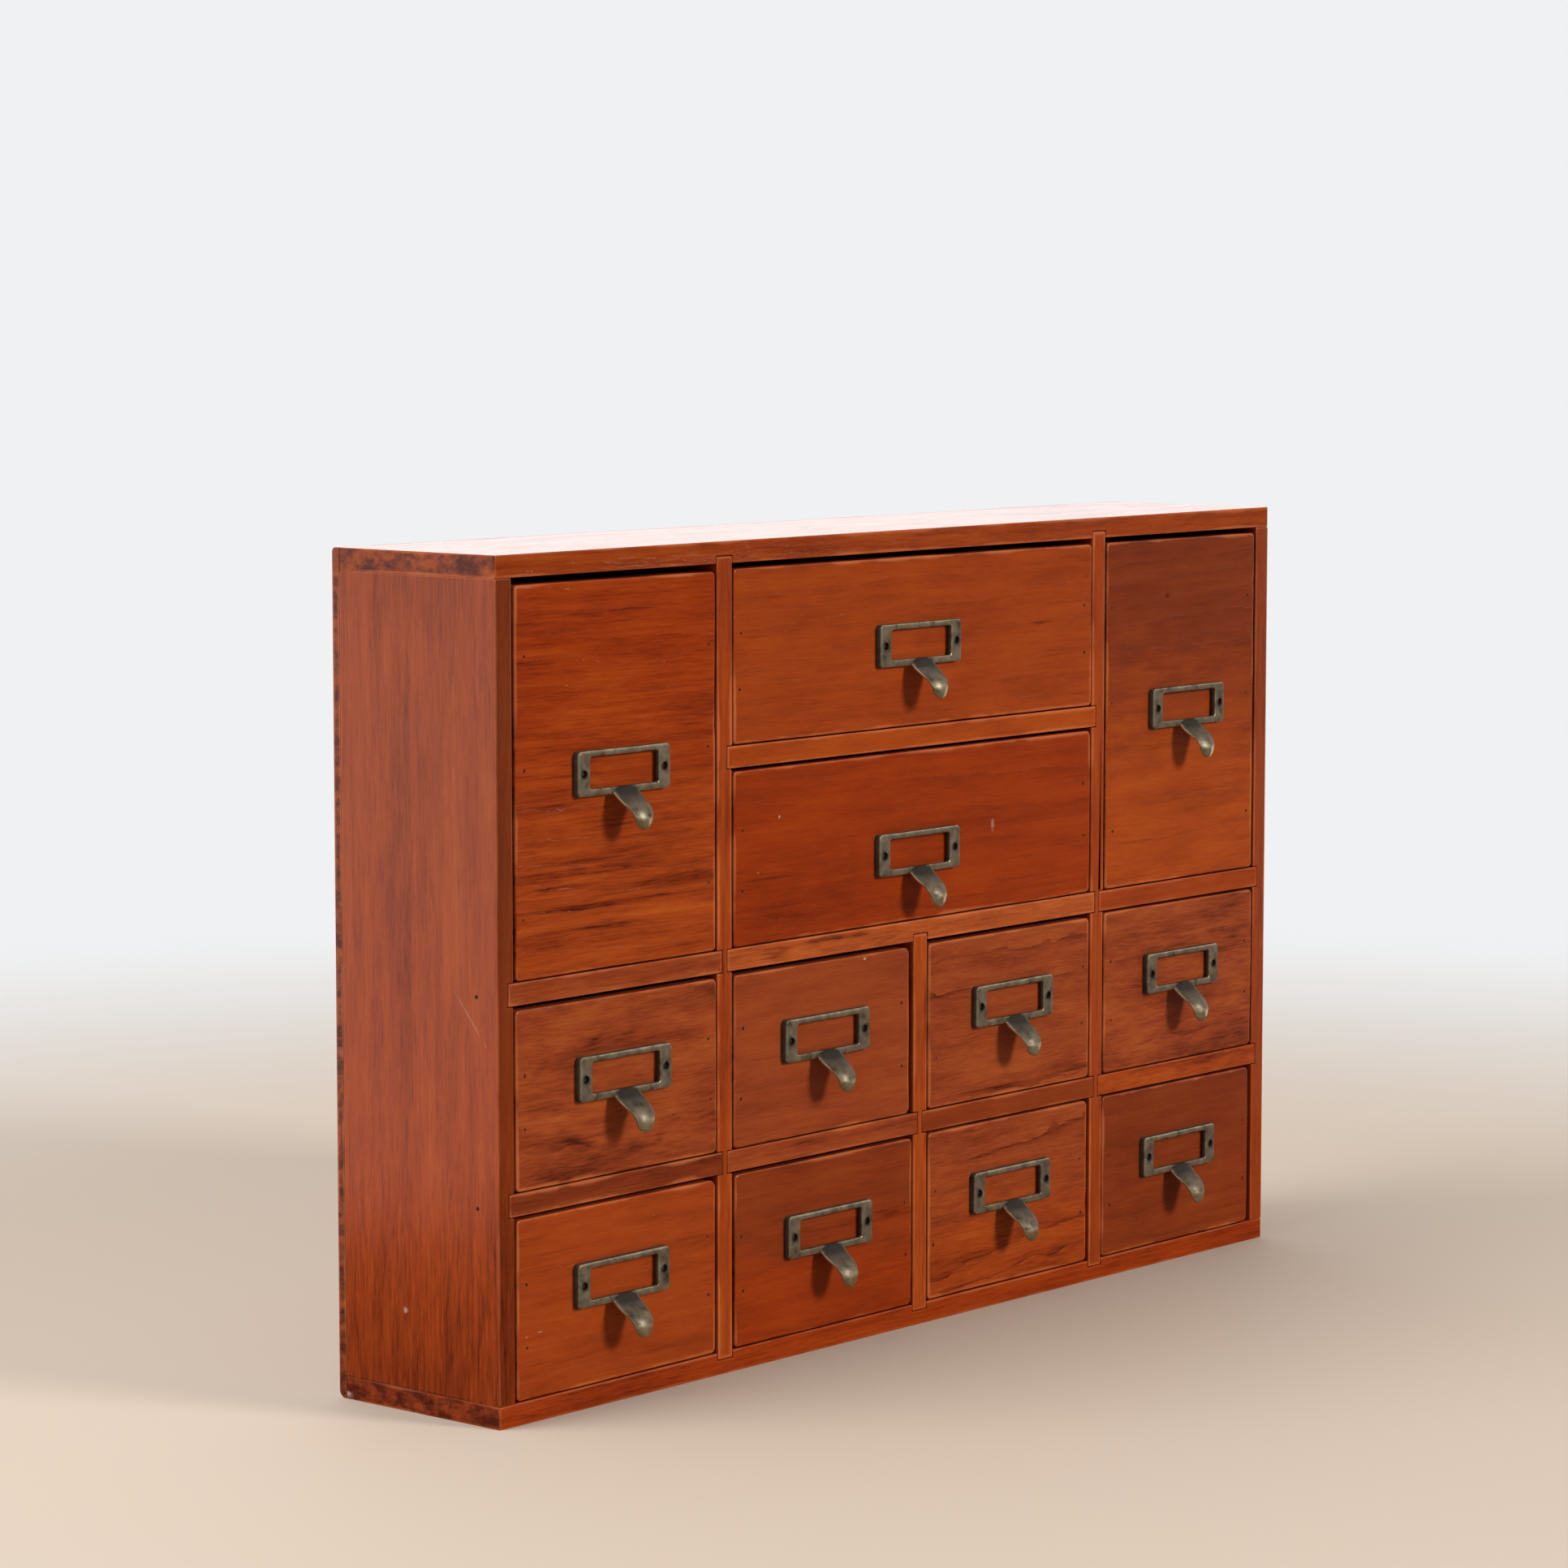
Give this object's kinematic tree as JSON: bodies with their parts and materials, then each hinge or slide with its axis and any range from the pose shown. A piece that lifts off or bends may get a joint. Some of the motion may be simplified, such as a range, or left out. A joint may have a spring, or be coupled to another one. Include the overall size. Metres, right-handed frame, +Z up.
{
  "type": "card catalog cabinet",
  "caption": "Desktop card catalog cabinet in stained wood, with tall, wide and small inset drawers, each with a metal label pull.",
  "frame": {"origin": "centre of the underside of the case", "axes": "+X to the right of a person facing the drawers, +Y to the back, +Z up; the drawers open towards -Y"},
  "size_m": [0.54, 0.1096, 0.36],
  "materials": {
    "case_wood": "red-brown stain under satin varnish, worn lighter at the edges",
    "back_panel_wood": "thin stained sheet, flat varnish",
    "drawer_front_wood": "orange-red stain under satin varnish, horizontal grain, worn edges",
    "drawer_box_wood": "plain unvarnished softwood",
    "aged_brass": "antique brass, dark in the hollows and rubbed bright on edges"
  },
  "bodies": {
    "case": {"top_board": "case_wood", "bottom_board": "case_wood", "left_side": "case_wood", "right_side": "case_wood", "back_panel": "back_panel_wood", "divider_left": "case_wood", "divider_middle": "case_wood", "divider_right": "case_wood", "shelf_left_upper": "case_wood", "shelf_left_lower": "case_wood", "shelf_wide_upper": "case_wood", "shelf_wide_lower": "case_wood", "shelf_inner_left": "case_wood", "shelf_inner_right": "case_wood", "shelf_right_upper": "case_wood", "shelf_right_lower": "case_wood"},
    "drawer_left_tall": {"drawer_front_left_tall": "drawer_front_wood", "drawer_box_left_tall": "drawer_box_wood", "label_pull_left_tall": "aged_brass"},
    "drawer_left_middle": {"drawer_front_left_middle": "drawer_front_wood", "drawer_box_left_middle": "drawer_box_wood", "label_pull_left_middle": "aged_brass"},
    "drawer_left_bottom": {"drawer_front_left_bottom": "drawer_front_wood", "drawer_box_left_bottom": "drawer_box_wood", "label_pull_left_bottom": "aged_brass"},
    "drawer_wide_top": {"drawer_front_wide_top": "drawer_front_wood", "drawer_box_wide_top": "drawer_box_wood", "label_pull_wide_top": "aged_brass"},
    "drawer_wide_lower": {"drawer_front_wide_lower": "drawer_front_wood", "drawer_box_wide_lower": "drawer_box_wood", "label_pull_wide_lower": "aged_brass"},
    "drawer_inner_left_middle": {"drawer_front_inner_left_middle": "drawer_front_wood", "drawer_box_inner_left_middle": "drawer_box_wood", "label_pull_inner_left_middle": "aged_brass"},
    "drawer_inner_left_bottom": {"drawer_front_inner_left_bottom": "drawer_front_wood", "drawer_box_inner_left_bottom": "drawer_box_wood", "label_pull_inner_left_bottom": "aged_brass"},
    "drawer_inner_right_middle": {"drawer_front_inner_right_middle": "drawer_front_wood", "drawer_box_inner_right_middle": "drawer_box_wood", "label_pull_inner_right_middle": "aged_brass"},
    "drawer_inner_right_bottom": {"drawer_front_inner_right_bottom": "drawer_front_wood", "drawer_box_inner_right_bottom": "drawer_box_wood", "label_pull_inner_right_bottom": "aged_brass"},
    "drawer_right_tall": {"drawer_front_right_tall": "drawer_front_wood", "drawer_box_right_tall": "drawer_box_wood", "label_pull_right_tall": "aged_brass"},
    "drawer_right_middle": {"drawer_front_right_middle": "drawer_front_wood", "drawer_box_right_middle": "drawer_box_wood", "label_pull_right_middle": "aged_brass"},
    "drawer_right_bottom": {"drawer_front_right_bottom": "drawer_front_wood", "drawer_box_right_bottom": "drawer_box_wood", "label_pull_right_bottom": "aged_brass"}
  },
  "joints": [
    {"name": "slide_left_tall", "type": "slide", "parent": "case", "child": "drawer_left_tall", "axis": [0, -1, 0], "range_m": [0, 0.07]},
    {"name": "slide_left_middle", "type": "slide", "parent": "case", "child": "drawer_left_middle", "axis": [0, -1, 0], "range_m": [0, 0.07]},
    {"name": "slide_left_bottom", "type": "slide", "parent": "case", "child": "drawer_left_bottom", "axis": [0, -1, 0], "range_m": [0, 0.07]},
    {"name": "slide_wide_top", "type": "slide", "parent": "case", "child": "drawer_wide_top", "axis": [0, -1, 0], "range_m": [0, 0.07]},
    {"name": "slide_wide_lower", "type": "slide", "parent": "case", "child": "drawer_wide_lower", "axis": [0, -1, 0], "range_m": [0, 0.07]},
    {"name": "slide_inner_left_middle", "type": "slide", "parent": "case", "child": "drawer_inner_left_middle", "axis": [0, -1, 0], "range_m": [0, 0.07]},
    {"name": "slide_inner_left_bottom", "type": "slide", "parent": "case", "child": "drawer_inner_left_bottom", "axis": [0, -1, 0], "range_m": [0, 0.07]},
    {"name": "slide_inner_right_middle", "type": "slide", "parent": "case", "child": "drawer_inner_right_middle", "axis": [0, -1, 0], "range_m": [0, 0.07]},
    {"name": "slide_inner_right_bottom", "type": "slide", "parent": "case", "child": "drawer_inner_right_bottom", "axis": [0, -1, 0], "range_m": [0, 0.07]},
    {"name": "slide_right_tall", "type": "slide", "parent": "case", "child": "drawer_right_tall", "axis": [0, -1, 0], "range_m": [0, 0.07]},
    {"name": "slide_right_middle", "type": "slide", "parent": "case", "child": "drawer_right_middle", "axis": [0, -1, 0], "range_m": [0, 0.07]},
    {"name": "slide_right_bottom", "type": "slide", "parent": "case", "child": "drawer_right_bottom", "axis": [0, -1, 0], "range_m": [0, 0.07]}
  ]
}
